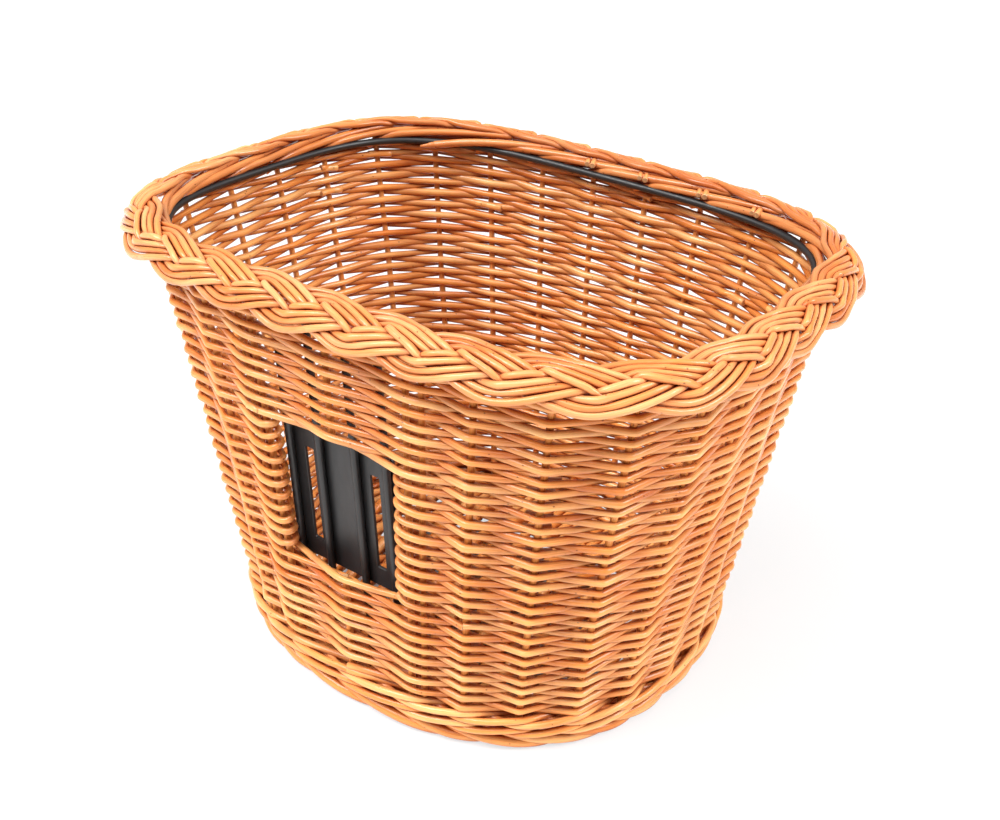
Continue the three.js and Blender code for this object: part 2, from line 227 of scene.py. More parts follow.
def makePiece(name, rods, finish, slotName, *nodes):
    offset, faces, flags, uvs = 0, [], [], []
    for rod in rods:
        faces += (rod["faces"] + offset).tolist()
        flags += [True] * len(rod["faces"])
        uvs.append(rod["uv"])
        for cap in rod["caps"]:
            faces.append((cap + offset).tolist())
            flags.append(False)
            uvs.append(rod["capUv"] * mm)
        offset += len(rod["corners"])
    mesh = bpy.data.meshes.new(name)
    mesh.from_pydata(np.concatenate([rod["corners"] for rod in rods]).tolist(), [], faces)
    mesh.polygons.foreach_set("use_smooth", flags)
    mesh.uv_layers.new(name="rodUv").data.foreach_set("uv", np.concatenate(uvs).astype(np.float32).ravel())
    for label in ("tone", "cut", "depth"):
        values = np.concatenate([rod[label] for rod in rods]).astype(np.float32)
        mesh.attributes.new(label, "FLOAT", "POINT").data.foreach_set("value", values)
    mesh.materials.append(finish)
    mesh.update()
    piece = addObject(name, mesh)
    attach(piece, "root")
    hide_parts(*nodes)
    print(name, "made of", len(rods), "rods,", len(faces), "faces")


# growth of a rod: slow waves along it and a few swollen bud scars
growth = {
    "waveShares": (1.0, 0.53, 0.29),
    "waveSum": 1.8,
    "swell": (130 * mm, 0.05 * mm),
    "knotEvery": 110 * mm,
    "knotShift": 0.3,
    "knotLength": 3.5 * mm,
    "knotHeight": 0.2 * mm,
    "smallestKnot": 0.2,
}


def slowWave(rng, along, wavelength, height):
    value = np.zeros(len(along))
    for share in growth["waveShares"]:
        value += share * np.sin(2 * np.pi * along / (wavelength * share) + rng.uniform(0, 2 * np.pi))
    return value * height / growth["waveSum"]


def grownRadius(rng, points, start, end):
    along = np.concatenate([[0], np.cumsum(np.linalg.norm(np.diff(points, axis=0), axis=1))])
    radius = start + (end - start) * along / along[-1]
    radius = radius + slowWave(rng, along, *growth["swell"])
    every = growth["knotEvery"]
    for knot in np.arange(rng.uniform(0, every), along[-1], every):  # a bud scar swells the rod a little
        place = knot + rng.uniform(-growth["knotShift"], growth["knotShift"]) * every
        swell = growth["knotHeight"] * rng.uniform(growth["smallestKnot"], 1)
        radius = radius + swell * np.exp(-((along - place) / growth["knotLength"]) ** 2)
    return radius


# finishes
mixSockets = {"inputs": (0, 6, 7), "result": 2}  # the mix node's sockets for colours


def addNode(tree, kind, **settings):
    node = tree.nodes.new(kind)
    for label, value in settings.items():
        setattr(node, label, value)
    return node


def feed(tree, socket, value):
    if isinstance(value, bpy.types.NodeSocket):
        tree.links.new(value, socket)
    else:
        socket.default_value = value


def mixColour(tree, factor, first, second, blend="MIX"):
    node = addNode(tree, "ShaderNodeMix", data_type="RGBA", blend_type=blend)
    for place, value in zip(mixSockets["inputs"], (factor, first, second)):
        feed(tree, node.inputs[place], value)
    return node.outputs[mixSockets["result"]]


def workOut(tree, operation, first, second):
    node = addNode(tree, "ShaderNodeMath", operation=operation)
    feed(tree, node.inputs[0], first)
    feed(tree, node.inputs[1], second)
    return node.outputs[0]


def mapValue(tree, value, given, wanted, smooth=False):
    node = addNode(tree, "ShaderNodeMapRange", interpolation_type="SMOOTHSTEP" if smooth else "LINEAR")
    tree.links.new(value, node.inputs["Value"])
    for label, number in zip(("From Min", "From Max", "To Min", "To Max"), (*given, *wanted)):
        node.inputs[label].default_value = number
    return node.outputs["Result"]


def stretched(tree, vector, scale):
    mapping = addNode(tree, "ShaderNodeMapping")
    mapping.inputs["Scale"].default_value = scale
    tree.links.new(vector, mapping.inputs["Vector"])
    return mapping.outputs["Vector"]


def stretchedNoise(tree, vector, scale, detail, roughness):
    noise = addNode(tree, "ShaderNodeTexNoise")
    noise.inputs["Scale"].default_value = 1.0
    noise.inputs["Detail"].default_value = detail
    noise.inputs["Roughness"].default_value = roughness
    tree.links.new(stretched(tree, vector, scale), noise.inputs["Vector"])
    return noise.outputs["Fac"]


def addBump(tree, shader, height, strength, distance):
    bump = addNode(tree, "ShaderNodeBump")
    bump.inputs["Strength"].default_value = strength
    bump.inputs["Distance"].default_value = distance
    tree.links.new(height, bump.inputs["Height"])
    tree.links.new(bump.outputs["Normal"], shader.inputs["Normal"])


def newFinish(name):
    finish = bpy.data.materials.new(name)
    finish.use_nodes = True
    shader = finish.node_tree.nodes["Principled BSDF"]
    return finish, finish.node_tree, shader


willow = {
    "grain": (60.0, 1900.0, 1.0),
    "grainDetail": (4.0, 0.6),
    "grainRange": (0.30, 0.72),
    "grainShade": (0.74, 1.10),
    "patch": (14.0, 60.0, 1.0),
    "patchDetail": (3.0, 0.55),
    "patchRange": (0.44, 0.74),
    "patchShade": (0.0, 0.85),
    "speck": (520.0, 640.0, 1.0),
    "speckCore": (0.12, 0.40),
    "speckRarity": 0.99,
    "crowdRange": (0.46, 0.64),
    "crowd": (0.0, 0.07),
    "speckColour": (0.13, 0.022, 0.005, 1),
    "speckShade": 0.8,
    "speckDent": 0.9,
    # painted shade: the colour that crevices and deep-lying rods are darkened towards
    "deepShade": (0.38, 0.07, 0.014, 1),
    "creviceReach": 7 * mm,
    "creviceRange": (0.15, 0.92),
    "creviceSamples": 6,
    "depthShade": 0.45,
    "cutColour": (0.74, 0.44, 0.22, 1),
    "pithColour": (0.42, 0.19, 0.07, 1),
    "glossRange": (0.25, 0.75),
    "gloss": (0.22, 0.36),
    "specular": 0.3,
    "coat": 0.2,
    "coatRoughness": 0.12,
    "bump": 0.4,
    "bumpDistance": 0.2 * mm,
}


def willowFinish(name, pale, middle, deep, crevice):
    finish, tree, shader = newFinish(name)
    place = addNode(tree, "ShaderNodeUVMap", uv_map="rodUv").outputs["UV"]
    tone, cut, depth = (addNode(tree, "ShaderNodeAttribute", attribute_name=label).outputs["Fac"]
                        for label in ("tone", "cut", "depth"))
    grain = stretchedNoise(tree, place, willow["grain"], *willow["grainDetail"])
    patch = stretchedNoise(tree, place, willow["patch"], *willow["patchDetail"])
    rodShade = mixColour(tree, tone, pale, middle)
    patchShare = mapValue(tree, patch, willow["patchRange"], willow["patchShade"], True)
    patched = mixColour(tree, patchShare, rodShade, deep)
    streaks = mapValue(tree, grain, willow["grainRange"], willow["grainShade"])
    grained = mixColour(tree, 1.0, patched, streaks, "MULTIPLY")
    cells = addNode(tree, "ShaderNodeTexVoronoi")
    cells.inputs["Scale"].default_value = 1.0
    tree.links.new(stretched(tree, place, willow["speck"]), cells.inputs["Vector"])
    pick = addNode(tree, "ShaderNodeSeparateColor")
    tree.links.new(cells.outputs["Color"], pick.inputs["Color"])
    crowd = mapValue(tree, patch, willow["crowdRange"], willow["crowd"], True)  # more specks on dark patches
    chance = workOut(tree, "ADD", pick.outputs["Red"], crowd)
    rare = workOut(tree, "GREATER_THAN", chance, willow["speckRarity"])
    core = mapValue(tree, cells.outputs["Distance"], willow["speckCore"], (1.0, 0.0), True)
    speck = workOut(tree, "MULTIPLY", rare, core)
    speckShare = workOut(tree, "MULTIPLY", speck, willow["speckShade"])
    specked = mixColour(tree, speckShare, grained, willow["speckColour"])
    # painted shade: ambient occlusion darkens the colour in the crevices, and the depth attribute darkens
    # rods lying deep in the wall
    around = addNode(tree, "ShaderNodeAmbientOcclusion", samples=willow["creviceSamples"])
    around.inputs["Distance"].default_value = willow["creviceReach"]
    hidden = mapValue(tree, around.outputs["AO"], willow["creviceRange"], (crevice, 0.0))
    hidden = workOut(tree, "MAXIMUM", hidden, workOut(tree, "MULTIPLY", depth, willow["depthShade"]))
    shaded = mixColour(tree, 1.0, specked, willow["deepShade"], "MULTIPLY")
    creviceShaded = mixColour(tree, hidden, specked, shaded)  # painted shade: darker down between the rods and on rods lying deep in the wall
    endShade = mixColour(tree, grain, willow["cutColour"], willow["pithColour"])
    tree.links.new(mixColour(tree, cut, creviceShaded, endShade), shader.inputs["Base Color"])
    tree.links.new(mapValue(tree, grain, willow["glossRange"], willow["gloss"]), shader.inputs["Roughness"])
    shader.inputs["Specular IOR Level"].default_value = willow["specular"]
    shader.inputs["Coat Weight"].default_value = willow["coat"]
    shader.inputs["Coat Roughness"].default_value = willow["coatRoughness"]
    height = workOut(tree, "SUBTRACT", grain, workOut(tree, "MULTIPLY", speck, willow["speckDent"]))
    addBump(tree, shader, height, willow["bump"], willow["bumpDistance"])
    return finish


shades = {
    "weaveWillow": {
        "pale": (0.96, 0.500, 0.175, 1),
        "middle": (0.90, 0.325, 0.066, 1),
        "deep": (0.66, 0.165, 0.022, 1),
        "crevice": 1.0,
    },
    "borderWillow": {
        "pale": (0.92, 0.450, 0.175, 1),
        "middle": (0.85, 0.305, 0.078, 1),
        "deep": (0.66, 0.175, 0.032, 1),
        "crevice": 1.0,
    },
    "stakeWillow": {
        "pale": (0.90, 0.400, 0.120, 1),
        "middle": (0.82, 0.300, 0.070, 1),
        "deep": (0.64, 0.175, 0.030, 1),
        "crevice": 0.2,
    },
}
weaveFinish, borderFinish, stakeFinish = (willowFinish(name, **shade) for name, shade in shades.items())

steel = {
    "colour": (0.013, 0.0125, 0.013, 1),
    "worn": (0.05, 0.047, 0.045, 1),
    "orangePeel": (900.0, 900.0, 900.0),
    "peelDetail": (2.0, 0.55),
    "scuff": (240.0, 240.0, 60.0),
    "scuffDetail": (5.0, 0.7),
    "wornRange": (0.60, 0.78),
    "wornShare": (0.0, 0.7),
    "glossRange": (0.3, 0.7),
    "gloss": (0.36, 0.52),
    "bump": 0.18,
    "bumpDistance": 0.1 * mm,
}


def steelFinish(name):
    finish, tree, shader = newFinish(name)
    place = addNode(tree, "ShaderNodeTexCoord").outputs["Object"]
    peel = stretchedNoise(tree, place, steel["orangePeel"], *steel["peelDetail"])
    scuff = stretchedNoise(tree, place, steel["scuff"], *steel["scuffDetail"])
    rubbed = mapValue(tree, scuff, steel["wornRange"], steel["wornShare"], True)
    tree.links.new(mixColour(tree, rubbed, steel["colour"], steel["worn"]), shader.inputs["Base Color"])
    tree.links.new(mapValue(tree, scuff, steel["glossRange"], steel["gloss"]), shader.inputs["Roughness"])
    addBump(tree, shader, peel, steel["bump"], steel["bumpDistance"])
    return finish


blackSteel = steelFinish("blackSteel")
print("finishes made")

# weave: in front of one stake and behind the next, straight between stakes and bent over them
weave = {
    "rowMarks": (0, 16, 39, 59.2),
    "levelMarks": (27.9 * mm, 89.8 * mm, 179.8 * mm, 255 * mm),
    "spareRows": 3,
    "drift": 0.3 * mm,
    "lowerEnd": 2,
    "upperEnd": 20,
    "radius": 2.06 * mm,
    "radiusSpread": 0.12,
    "thickFar": 0.1,
    "butt": (1.0, 1.1),
    "tip": (0.88, 1.0),
    "reach": 3.4 * mm,
    "flatFar": 0.22,
    "push": 0.25 * mm,
    "ease": 1.6 * mm,
    "backEase": 5 * mm,
    "backStations": 1.5,
    "wrap": 5 * mm,
    "wrapAngles": (30, 60, 90, 120, 150),
    "bow": 0.35 * mm,
    "bowSpread": (0.3, 0.3, 1),
    "sag": 0.3 * mm,
    "rodStops": (21, 36),
    "fewestStops": 8,
    "tail": 0.2,
    "tailSpread": (0.75, 1.3),
    "tailIn": (0.4 * mm, 1.8 * mm),
    "tailLift": 0.16,
    "secondPost": 8.5 * mm,
    "seed": 11,
}
weaveRng = np.random.default_rng(weave["seed"])
lowerRows, upperStart, lastRow = (int(mark) for mark in weave["rowMarks"][1:])
rowDrift = weaveRng.uniform(-1, 1, lastRow + weave["spareRows"]) * weave["drift"]
secondTurn = weave["secondPost"] / girthAt(windowMiddle)
secondShare = secondTurn / (stationTurns[2] - stationTurns[1])

# where a rod bends on its way round: at each stake, and at both stakes of a double post
stops = [(0, 0.0), (1, 1.0), (1, 1.0 + secondShare)]
stops += [(i, float(i)) for i in range(2, lastStake)]
stops += [(lastStake, lastStake - secondShare), (lastStake, float(lastStake))]


def rowHeight(turns):
    level = np.interp(turns, weave["rowMarks"], weave["levelMarks"])
    return level + np.interp(turns, np.arange(len(rowDrift)), rowDrift)


def weaveStop(row, stop):
    number, station = stop
    side = 1 if (row + number) % 2 == 0 else -1
    return {"station": station, "turns": row + station / wall["stakes"], "out": side * weave["reach"],
            "inner": side < 0 and 1 < number < lastStake}


def windingStops(fromRow, fromStop, toRow, toStop):
    line = []
    for row in range(fromRow, toRow + 1):
        low = fromStop if row == fromRow else 0
        high = toStop if row == toRow else lastStake
        line += [weaveStop(row, stop) for stop in stops if low <= stop[0] <= high]
    return line


def turningStops(fromRow, toRow):
    line = []
    for row in range(fromRow, toRow):
        forward = (row - fromRow) % 2 == 0
        first = 2 if row == fromRow else 1
        places = [stop for stop in stops if first <= stop[0] <= lastStake]
        line += [weaveStop(row, stop) for stop in (places if forward else places[::-1])]
        if row == toRow - 1:
            continue
        post = lastStake if forward else 1  # bent back round the post at the window
        side = 1 if (row + post) % 2 == 0 else -1
        reach = weave["wrap"] / girthAt(rowHeight(row)) / (stationTurns[2] - stationTurns[1])
        for angle in np.radians(weave["wrapAngles"]):
            line.append({"station": post + (1 if forward else -1) * reach * math.sin(angle),
                         "turns": row + post / wall["stakes"] + angle / np.pi,
                         "out": side * weave["reach"] * math.cos(angle), "inner": False})
    return line


def tailStop(stop, neighbour, lift):
    # a rod end that runs on past its last stake, leaning away from the wall
    way = 1 if stop["station"] > neighbour["station"] else -1
    share = way * weave["tail"] * weaveRng.uniform(*weave["tailSpread"])
    return {"station": stop["station"] + share, "turns": stop["turns"] + share / wall["stakes"] + lift,
            "out": stop["out"] - weaveRng.uniform(*weave["tailIn"]), "inner": False}


def weaveRod(line):
    station, turns, out = (np.array([stop[key] for stop in line]) for key in ("station", "turns", "out"))
    u = stationTurn(station)
    level = rowHeight(turns) + weaveRng.normal(0, 1, len(line)) * weave["sag"]
    push = weaveRng.normal(0, weave["push"], len(line)) * np.sign(out)
    away = farShare(wallAt(u, level, 0))
    corners = wallAt(u, level, out * (1 - weave["flatFar"] * away) + push)
    bow = np.stack([weaveRng.normal(0, spread, len(line) - 1) for spread in weave["bowSpread"]], -1)
    atBack = (station < weave["backStations"]) | (station > wall["stakes"] - weave["backStations"])
    ease = np.where(atBack, weave["backEase"], weave["ease"])[1:-1]
    points = bentPath(corners, ease, bow * weave["bow"])
    butt, tip = weaveRng.uniform(*weave["butt"]), weaveRng.uniform(*weave["tip"])
    if weaveRng.random() < 0.5:  # half of the rods start at the tip
        butt, tip = tip, butt
    thick = weave["radius"] * (1 + weave["radiusSpread"] * weaveRng.uniform(-1, 1))
    radius = grownRadius(weaveRng, points, thick * butt, thick * tip)
    radius *= 1 + weave["thickFar"] * farShare(points)  # thinner over the window side
    # painted shade: depth darkens the rod between stakes, where it runs near the middle of the wall
    stopShare = 1 - np.abs(out) / weave["reach"]
    middleShare = 1 - np.abs(out[:-1] + out[1:]) / 2 / weave["reach"]
    perBend = 4  # bentPath lays three points at a bend and one in the middle of the next run
    inside = np.repeat(stopShare[1:-1], perBend)
    inside[perBend - 1::perBend] = middleShare[1:]
    depth = np.concatenate([stopShare[:1], middleShare[:1], inside, stopShare[-1:]])
    return makeRod(points, radius, tone=weaveRng.uniform(0, 1), depth=np.clip(depth, 0, 1))


def joinedRods(line):
    # one long path cut into rods, each end tucked behind a stake on the inner side
    cuts, last = [], 0
    length = weaveRng.integers(*weave["rodStops"])
    for place, stop in enumerate(line):
        if stop["inner"] and place - last > length and len(line) - place > weave["fewestStops"]:
            cuts.append(place)
            last = place
            length = weaveRng.integers(*weave["rodStops"])
    bounds = [0, *cuts, len(line) - 1]
    rods = []
    for low, high in zip(bounds[:-1], bounds[1:]):
        part = list(line[low:high + 1])
        if low:
            part.insert(0, tailStop(part[0], part[1], -weave["tailLift"]))
        if high < len(line) - 1:
            part.append(tailStop(part[-1], part[-2], weave["tailLift"]))
        rods.append(weaveRod(part))
    return rods


lowerLine = windingStops(0, 0, lowerRows, weave["lowerEnd"])
sideLine = turningStops(lowerRows, upperStart)
upperLine = windingStops(upperStart - 1, lastStake, lastRow - 1, weave["upperEnd"])
makePiece("lowerWeave", joinedRods(lowerLine), weaveFinish, "weave_willow", "lower_weave_1", "lower_weave_2")
makePiece("sideWeave", joinedRods(sideLine), weaveFinish, "weave_willow", "side_weave_1", "side_weave_2")
makePiece("upperWeave", joinedRods(upperLine), weaveFinish, "weave_willow", "upper_weave_1", "upper_weave_2")

# wale near the foot: two rows of three rods, each rod in front of two stakes and behind the third
wale = {
    "rows": 2,
    "rods": 3,
    "radius": 2.1 * mm,
    "radiusSpread": (0.95, 1.06),
    "swell": (0.23, 0.1 * mm),
    "bottom": 13.6 * mm,
    "pitch": 7.4 * mm,
    "climb": 3.7 * mm,
    "climbShares": (0.5, 0.0, 1.0),
    "reach": 4.5 * mm,
    "shade": 0.6,
    "tone": (0.1, 0.9),
    "samples": 10,
    "seed": 5,
}
waleRng = np.random.default_rng(wale["seed"])


def smoothLoop(values, samples):
    # closed smooth curve through the values
    count = len(values)
    t = evenTurns(samples)[None, :]
    a, b, c, d = (np.roll(values, shift)[:, None] for shift in (1, 0, -1, -2))
    curve = b + 0.5 * t * (c - a + t * (2 * a - 5 * b + 4 * c - d + t * (3 * (b - c) + d - a)))
    return curve.reshape(count * samples)


def waleRod(row, first):
    phase = (np.arange(wall["stakes"]) + first + row) % wale["rods"]
    out = smoothLoop(np.where(phase == 0, -1.0, 1.0) * wale["reach"], wale["samples"])
    rise = np.choose(phase, wale["climbShares"]) * wale["climb"]
    level = smoothLoop(wale["bottom"] + row * wale["pitch"] + rise, wale["samples"])
    u = stationTurn(np.arange(wall["stakes"] * wale["samples"]) / wale["samples"])
    points = wallAt(u, level, out)
    radius = wale["radius"] * waleRng.uniform(*wale["radiusSpread"]) + slowWave(waleRng, u, *wale["swell"])
    # painted shade: depth darkens each rod where it passes on the inner side of the wall
    depth = np.clip(wale["shade"] - out / wale["reach"], 0, 1)
    return makeRod(points, radius, closed=True, tone=waleRng.uniform(*wale["tone"]), depth=depth)


waleRods = [waleRod(row, first) for row in range(wale["rows"]) for first in range(wale["rods"])]
makePiece("waleBand", waleRods, weaveFinish, "weave_willow", "wale_rod_1", "wale_rod_2", "wale_rod_3")

# stakes, with a thinner second stake beside each window post
stakes = {
    "butt": 2.2 * mm,
    "tip": 1.85 * mm,
    "second": 1.85 * mm,
    "bottom": 11.9 * mm,
    "top": 252 * mm,
    "sway": (200 * mm, 0.35 * mm),
    "sides": 10,
    "steps": 26,
    "seed": 23,
}
stakeRng = np.random.default_rng(stakes["seed"])


def stakeRod(u, bottom, top, butt, tip):
    z = np.linspace(bottom, top, stakes["steps"])
    sway = slowWave(stakeRng, z, *stakes["sway"])
    points = wallAt(u + sway / girthAt(z), z, 0.0)
    radius = grownRadius(stakeRng, points, butt, tip)
    return makeRod(points, radius, sides=stakes["sides"], tone=stakeRng.uniform(0, 1))


sill = rowHeight(lowerRows)
lintel = rowHeight(upperStart)
stakeRods = [stakeRod(float(stationTurn(i)), stakes["bottom"], stakes["top"], stakes["butt"], stakes["tip"])
             for i in range(1, wall["stakes"])]
stakeRods.append(stakeRod(0.0, stakes["bottom"], float(sill), stakes["butt"], stakes["tip"]))
stakeRods.append(stakeRod(0.0, float(lintel), stakes["top"], stakes["tip"], stakes["tip"]))
for u in (postTurn + secondTurn, 1 - postTurn - secondTurn):
    stakeRods.append(stakeRod(u, stakes["bottom"], stakes["top"], stakes["second"], stakes["second"]))
stakeNodes = [f"stake_{i:02d}" for i in range(1, wall["stakes"])]
makePiece("uprightStakes", stakeRods, stakeFinish, "stake_willow", *stakeNodes,
          "centre_stake_lower", "centre_stake_upper")

# border: plait of three strands, four rods side by side in each, settled against each other
plait = {
    "strands": 3,
    "rods": 4,
    "waves": 9,
    "start": 0.05,
    "samples": 60,
    "sides": 10,
    "radius": 1.58 * mm,
    "plump": 1.17,
    "radiusSpread": (0.93, 1.07),
    "spacing": 3.6 * mm,
    "swing": 8.5 * mm,
    "straight": 0.94,
    "lift": 5.5 * mm,
    "earlyDive": math.radians(5.8) / mm,
    "tuck": 3.5 * mm,
    "rounds": 160,
    "recheck": 20,
    "nearby": 1.7,
    "push": 0.4,
    "pushShares": (0.2, 1, 1),
    "keepLine": 0.1,
    "flatten": 0.014,
    "stiffness": 0.15,
    "tension": 0.02,
    "tilt": math.radians(36),
    "middle": 257.4 * mm,
    "overhang": 7.6 * mm,
    "bend": 26 * mm,
    "acrossWave": (1 / 9, 0.35 * mm),
    "riseWave": (1 / 14, 0.2 * mm),
    "swell": (1 / 11, 0.1 * mm),
    "tone": (0.2, 0.8),
    "toneWaves": ((5, 0.28), (13, 0.22)),
    "toneStart": 6,
    "farToneShade": 0.3,
    "shade": 0.35,
    "shadeDrop": 3 * mm,
    "farShade": 0.7,
    "seed": 31,
}
plaitRng = np.random.default_rng(plait["seed"])
plaitWave = girthAt(wall["height"]) / plait["waves"]


def laidStrands():
    # one repeat laid out flat: over on the way to the middle, under on the way from it
    x = evenTurns(plait["samples"]) * plaitWave
    lines = []
    for strand in range(plait["strands"]):
        theta = 2 * np.pi * (x / plaitWave + strand / plait["strands"]) - np.pi / 2
        across = plait["swing"] * np.arcsin(plait["straight"] * np.sin(theta)) / math.asin(plait["straight"])
        heading = np.arctan((np.roll(across, -1) - np.roll(across, 1)) * plait["samples"] / (2 * plaitWave))
        for rod in range(plait["rods"]):
            offset = (rod - (plait["rods"] - 1) / 2) * plait["spacing"]
            dive = theta + plait["earlyDive"] * offset * np.cos(theta)
            rise = -plait["lift"] * np.sin(2 * dive)
            if rod == 0:  # the innermost rod stays hidden at the outer turn
                rise -= plait["tuck"] * np.maximum(np.sin(theta), 0) ** 2
            lines.append(np.stack([x, across + offset / np.cos(heading), rise], -1))
    return np.array(lines)


def settledStrands():
    # rods push each other apart where they touch, keep their line and lie as flat as they can
    lines = laidStrands()
    line = lines[..., 1].copy()
    owner = np.repeat(np.arange(len(lines)), plait["samples"])
    touch = 2 * plait["radius"]
    for step in range(plait["rounds"]):
        points = lines.reshape(-1, 3)
        if step % plait["recheck"] == 0:
            apart = points[:, None] - points[None]
            apart[..., 0] -= plaitWave * np.round(apart[..., 0] / plaitWave)
            near = np.linalg.norm(apart, axis=-1) < plait["nearby"] * touch
            one, two = np.nonzero(near & (owner[:, None] != owner[None]))
        apart = points[one] - points[two]
        apart[:, 0] -= plaitWave * np.round(apart[:, 0] / plaitWave)
        distance = np.maximum(np.linalg.norm(apart, axis=1), tiny)
        press = np.maximum(touch - distance, 0)
        shove = np.zeros_like(points)
        np.add.at(shove, one, apart * (press / distance)[:, None])
        hits = np.maximum(np.bincount(one[press > 0], minlength=len(points)), 1)
        shove *= (plait["push"] / np.sqrt(hits))[:, None] * plait["pushShares"]
        lines = lines + shove.reshape(lines.shape)
        ahead, behind = np.roll(lines, -1, 1), np.roll(lines, 1, 1)
        ahead[:, -1, 0] += plaitWave
        behind[:, 0, 0] -= plaitWave
        bend = (ahead + behind) / 2 - lines
        stiff = bend - (np.roll(bend, -1, 1) + np.roll(bend, 1, 1)) / 2
        lines += plait["stiffness"] * stiff + plait["tension"] * bend
        lines[..., 1] += plait["keepLine"] * (line - lines[..., 1])
        lines[..., 2] *= 1 - plait["flatten"]
    return lines.reshape(plait["strands"], plait["rods"], plait["samples"], 3)


def plaitRods(strand):
    rods = []
    for settled in strandLines[strand]:
        x = np.concatenate([settled[:, 0] + wave * plaitWave for wave in range(plait["waves"])])
        u = (x / plaitWave + plait["start"]) / plait["waves"]
        across = np.tile(settled[:, 1], plait["waves"]) + slowWave(plaitRng, u, *plait["acrossWave"])
        rise = np.tile(settled[:, 2], plait["waves"]) + slowWave(plaitRng, u, *plait["riseWave"])
        points = wallAt(u, wall["height"], plait["overhang"])
        angle = across / plait["bend"] + plait["tilt"]
        out = (plait["bend"] + rise) * np.sin(angle) - plait["bend"] * math.sin(plait["tilt"])
        up = (plait["bend"] + rise) * np.cos(angle) - plait["bend"] * math.cos(plait["tilt"])
        points += wallOutward(u, np.full(len(u), wall["height"])) * out[:, None]
        points[:, 2] += up + plait["middle"] - wall["height"]
        radius = plait["radius"] * plait["plump"] * plaitRng.uniform(*plait["radiusSpread"])
        radius = radius + slowWave(plaitRng, u, *plait["swell"])
        tone = plaitRng.uniform(*plait["tone"])
        for count, height in plait["toneWaves"]:
            tone = tone + height * np.sin(2 * np.pi * count * u + plaitRng.uniform(0, plait["toneStart"]))
        away = np.maximum(farShare(points), 0)  # painted shade: the rods over the far wall are darker
        tone = np.clip(tone + plait["farToneShade"] * away, 0, 1)
        # painted shade: depth darkens the lower-lying rods and the rods over the far wall
        depth = np.clip(plait["shade"] - rise / plait["shadeDrop"] + plait["farShade"] * away, 0, 1)
        rods.append(makeRod(points, radius, sides=plait["sides"], closed=True, tone=tone, depth=depth))
    return rods


strandLines = settledStrands()
settledRise = strandLines[..., 2] / mm
print("plait settled, rise", np.round(settledRise.min(), 2), "to", np.round(settledRise.max(), 2), "mm")

# stake ends bent over inside the mouth: each runs on above the hoop and up under the plait's inner edge
bentEnds = {
    "radius": 2.35 * mm,
    "radiusSpread": (0.9, 1.1),
    "taper": (1.05, 0.92),
    "back": (0.12, -0.3, -0.8, -1.4, -2.0, -2.4),
    "level": (248 * mm, 254.6 * mm, 256 * mm, 257.4 * mm, 258.6 * mm, 258.6 * mm),
    "out": (-4.5 * mm, -7.6 * mm, -8 * mm, -6.8 * mm, -4 * mm, 0 * mm),
    "inFront": (17,),
    "frontLevel": (248.5 * mm, 251.5 * mm, 255 * mm, 257.6 * mm, 258.6 * mm, 258.6 * mm),
    "frontOut": (-12.6 * mm, -13.6 * mm, -13.4 * mm, -11 * mm, -6 * mm, 0 * mm),
    "point": 0.35,
    "pointSlope": 5,
    "shift": (0.06, 0.5 * mm, 0.5 * mm),
    "ease": 9 * mm,
    "steps": 4,
    "tone": (0.5, 1),
    "shade": 0.6,
}


def bentEndRods(strand):
    rods = []
    for wave in range(plait["waves"]):
        number = wave * plait["strands"] + strand
        shift = plaitRng.normal(0, 1, 3) * bentEnds["shift"]
        station = number + np.array(bentEnds["back"]) + shift[0]
        fine = np.linspace(0, 1, bentEnds["steps"] * (len(station) - 1) + 1)
        marks = np.linspace(0, 1, len(station))
        u = np.interp(fine, marks, station) / wall["stakes"]
        front = number in bentEnds["inFront"]  # one passes inside the hoop instead of behind it
        out, level = (bentEnds[key] for key in (("frontOut", "frontLevel") if front else ("out", "level")))
        corners = wallAt(u, wall["height"], np.interp(fine, marks, out) + shift[1])
        corners[:, 2] = np.interp(fine, marks, level) + shift[2]
        points = bentPath(smoothed(corners), bentEnds["ease"], 0)
        radius = bentEnds["radius"] * plaitRng.uniform(*bentEnds["radiusSpread"])
        radius = radius * np.linspace(*bentEnds["taper"], len(points))
        if front:  # whittled to a point
            whittled = bentEnds["point"] + bentEnds["pointSlope"] * np.linspace(0, 1, len(points))
            radius *= np.minimum(whittled, 1)
        tone = plaitRng.uniform(*bentEnds["tone"])
        # painted shade: the bent ends are darkened all along, as they lie under the plait
        rods.append(makeRod(points, radius, tone=tone, depth=bentEnds["shade"]))
    return rods


# pairs of cut ends that point into the mouth above the hoop on the far side
cutEnds = {
    "stations": (10.9, 11.9, 12.95, 13.9),
    "hands": (-0.5, 0.5),
    "gap": 4.2 * mm,
    "radius": 1.9 * mm,
    "radiusSpread": (0.92, 1.05),
    "fromOut": 4 * mm,
    "toOut": -10.8 * mm,
    "longer": 1 * mm,
    "slant": 0.006,
    "level": 257.2 * mm,
    "drop": 2 * mm,
    "dropSpread": 0.4 * mm,
    "steps": 6,
    "tone": 0.2,
}


def cutEndRods():
    rods = []
    for station in cutEnds["stations"]:
        for hand in cutEnds["hands"]:
            u = station / wall["stakes"] + hand * cutEnds["gap"] / girthAt(wall["height"])
            tipOut = cutEnds["toOut"] - plaitRng.uniform(0, cutEnds["longer"])
            out = np.linspace(cutEnds["fromOut"], tipOut, cutEnds["steps"])
            points = wallAt(u + np.linspace(cutEnds["slant"], 0, cutEnds["steps"]), wall["height"], out)
            tipRise = plaitRng.uniform(-cutEnds["dropSpread"], cutEnds["dropSpread"])
            points[:, 2] = cutEnds["level"] + np.linspace(cutEnds["drop"], tipRise, cutEnds["steps"])
            radius = cutEnds["radius"] * plaitRng.uniform(*cutEnds["radiusSpread"])
            rods.append(makeRod(points, radius, tone=cutEnds["tone"]))
    return rods


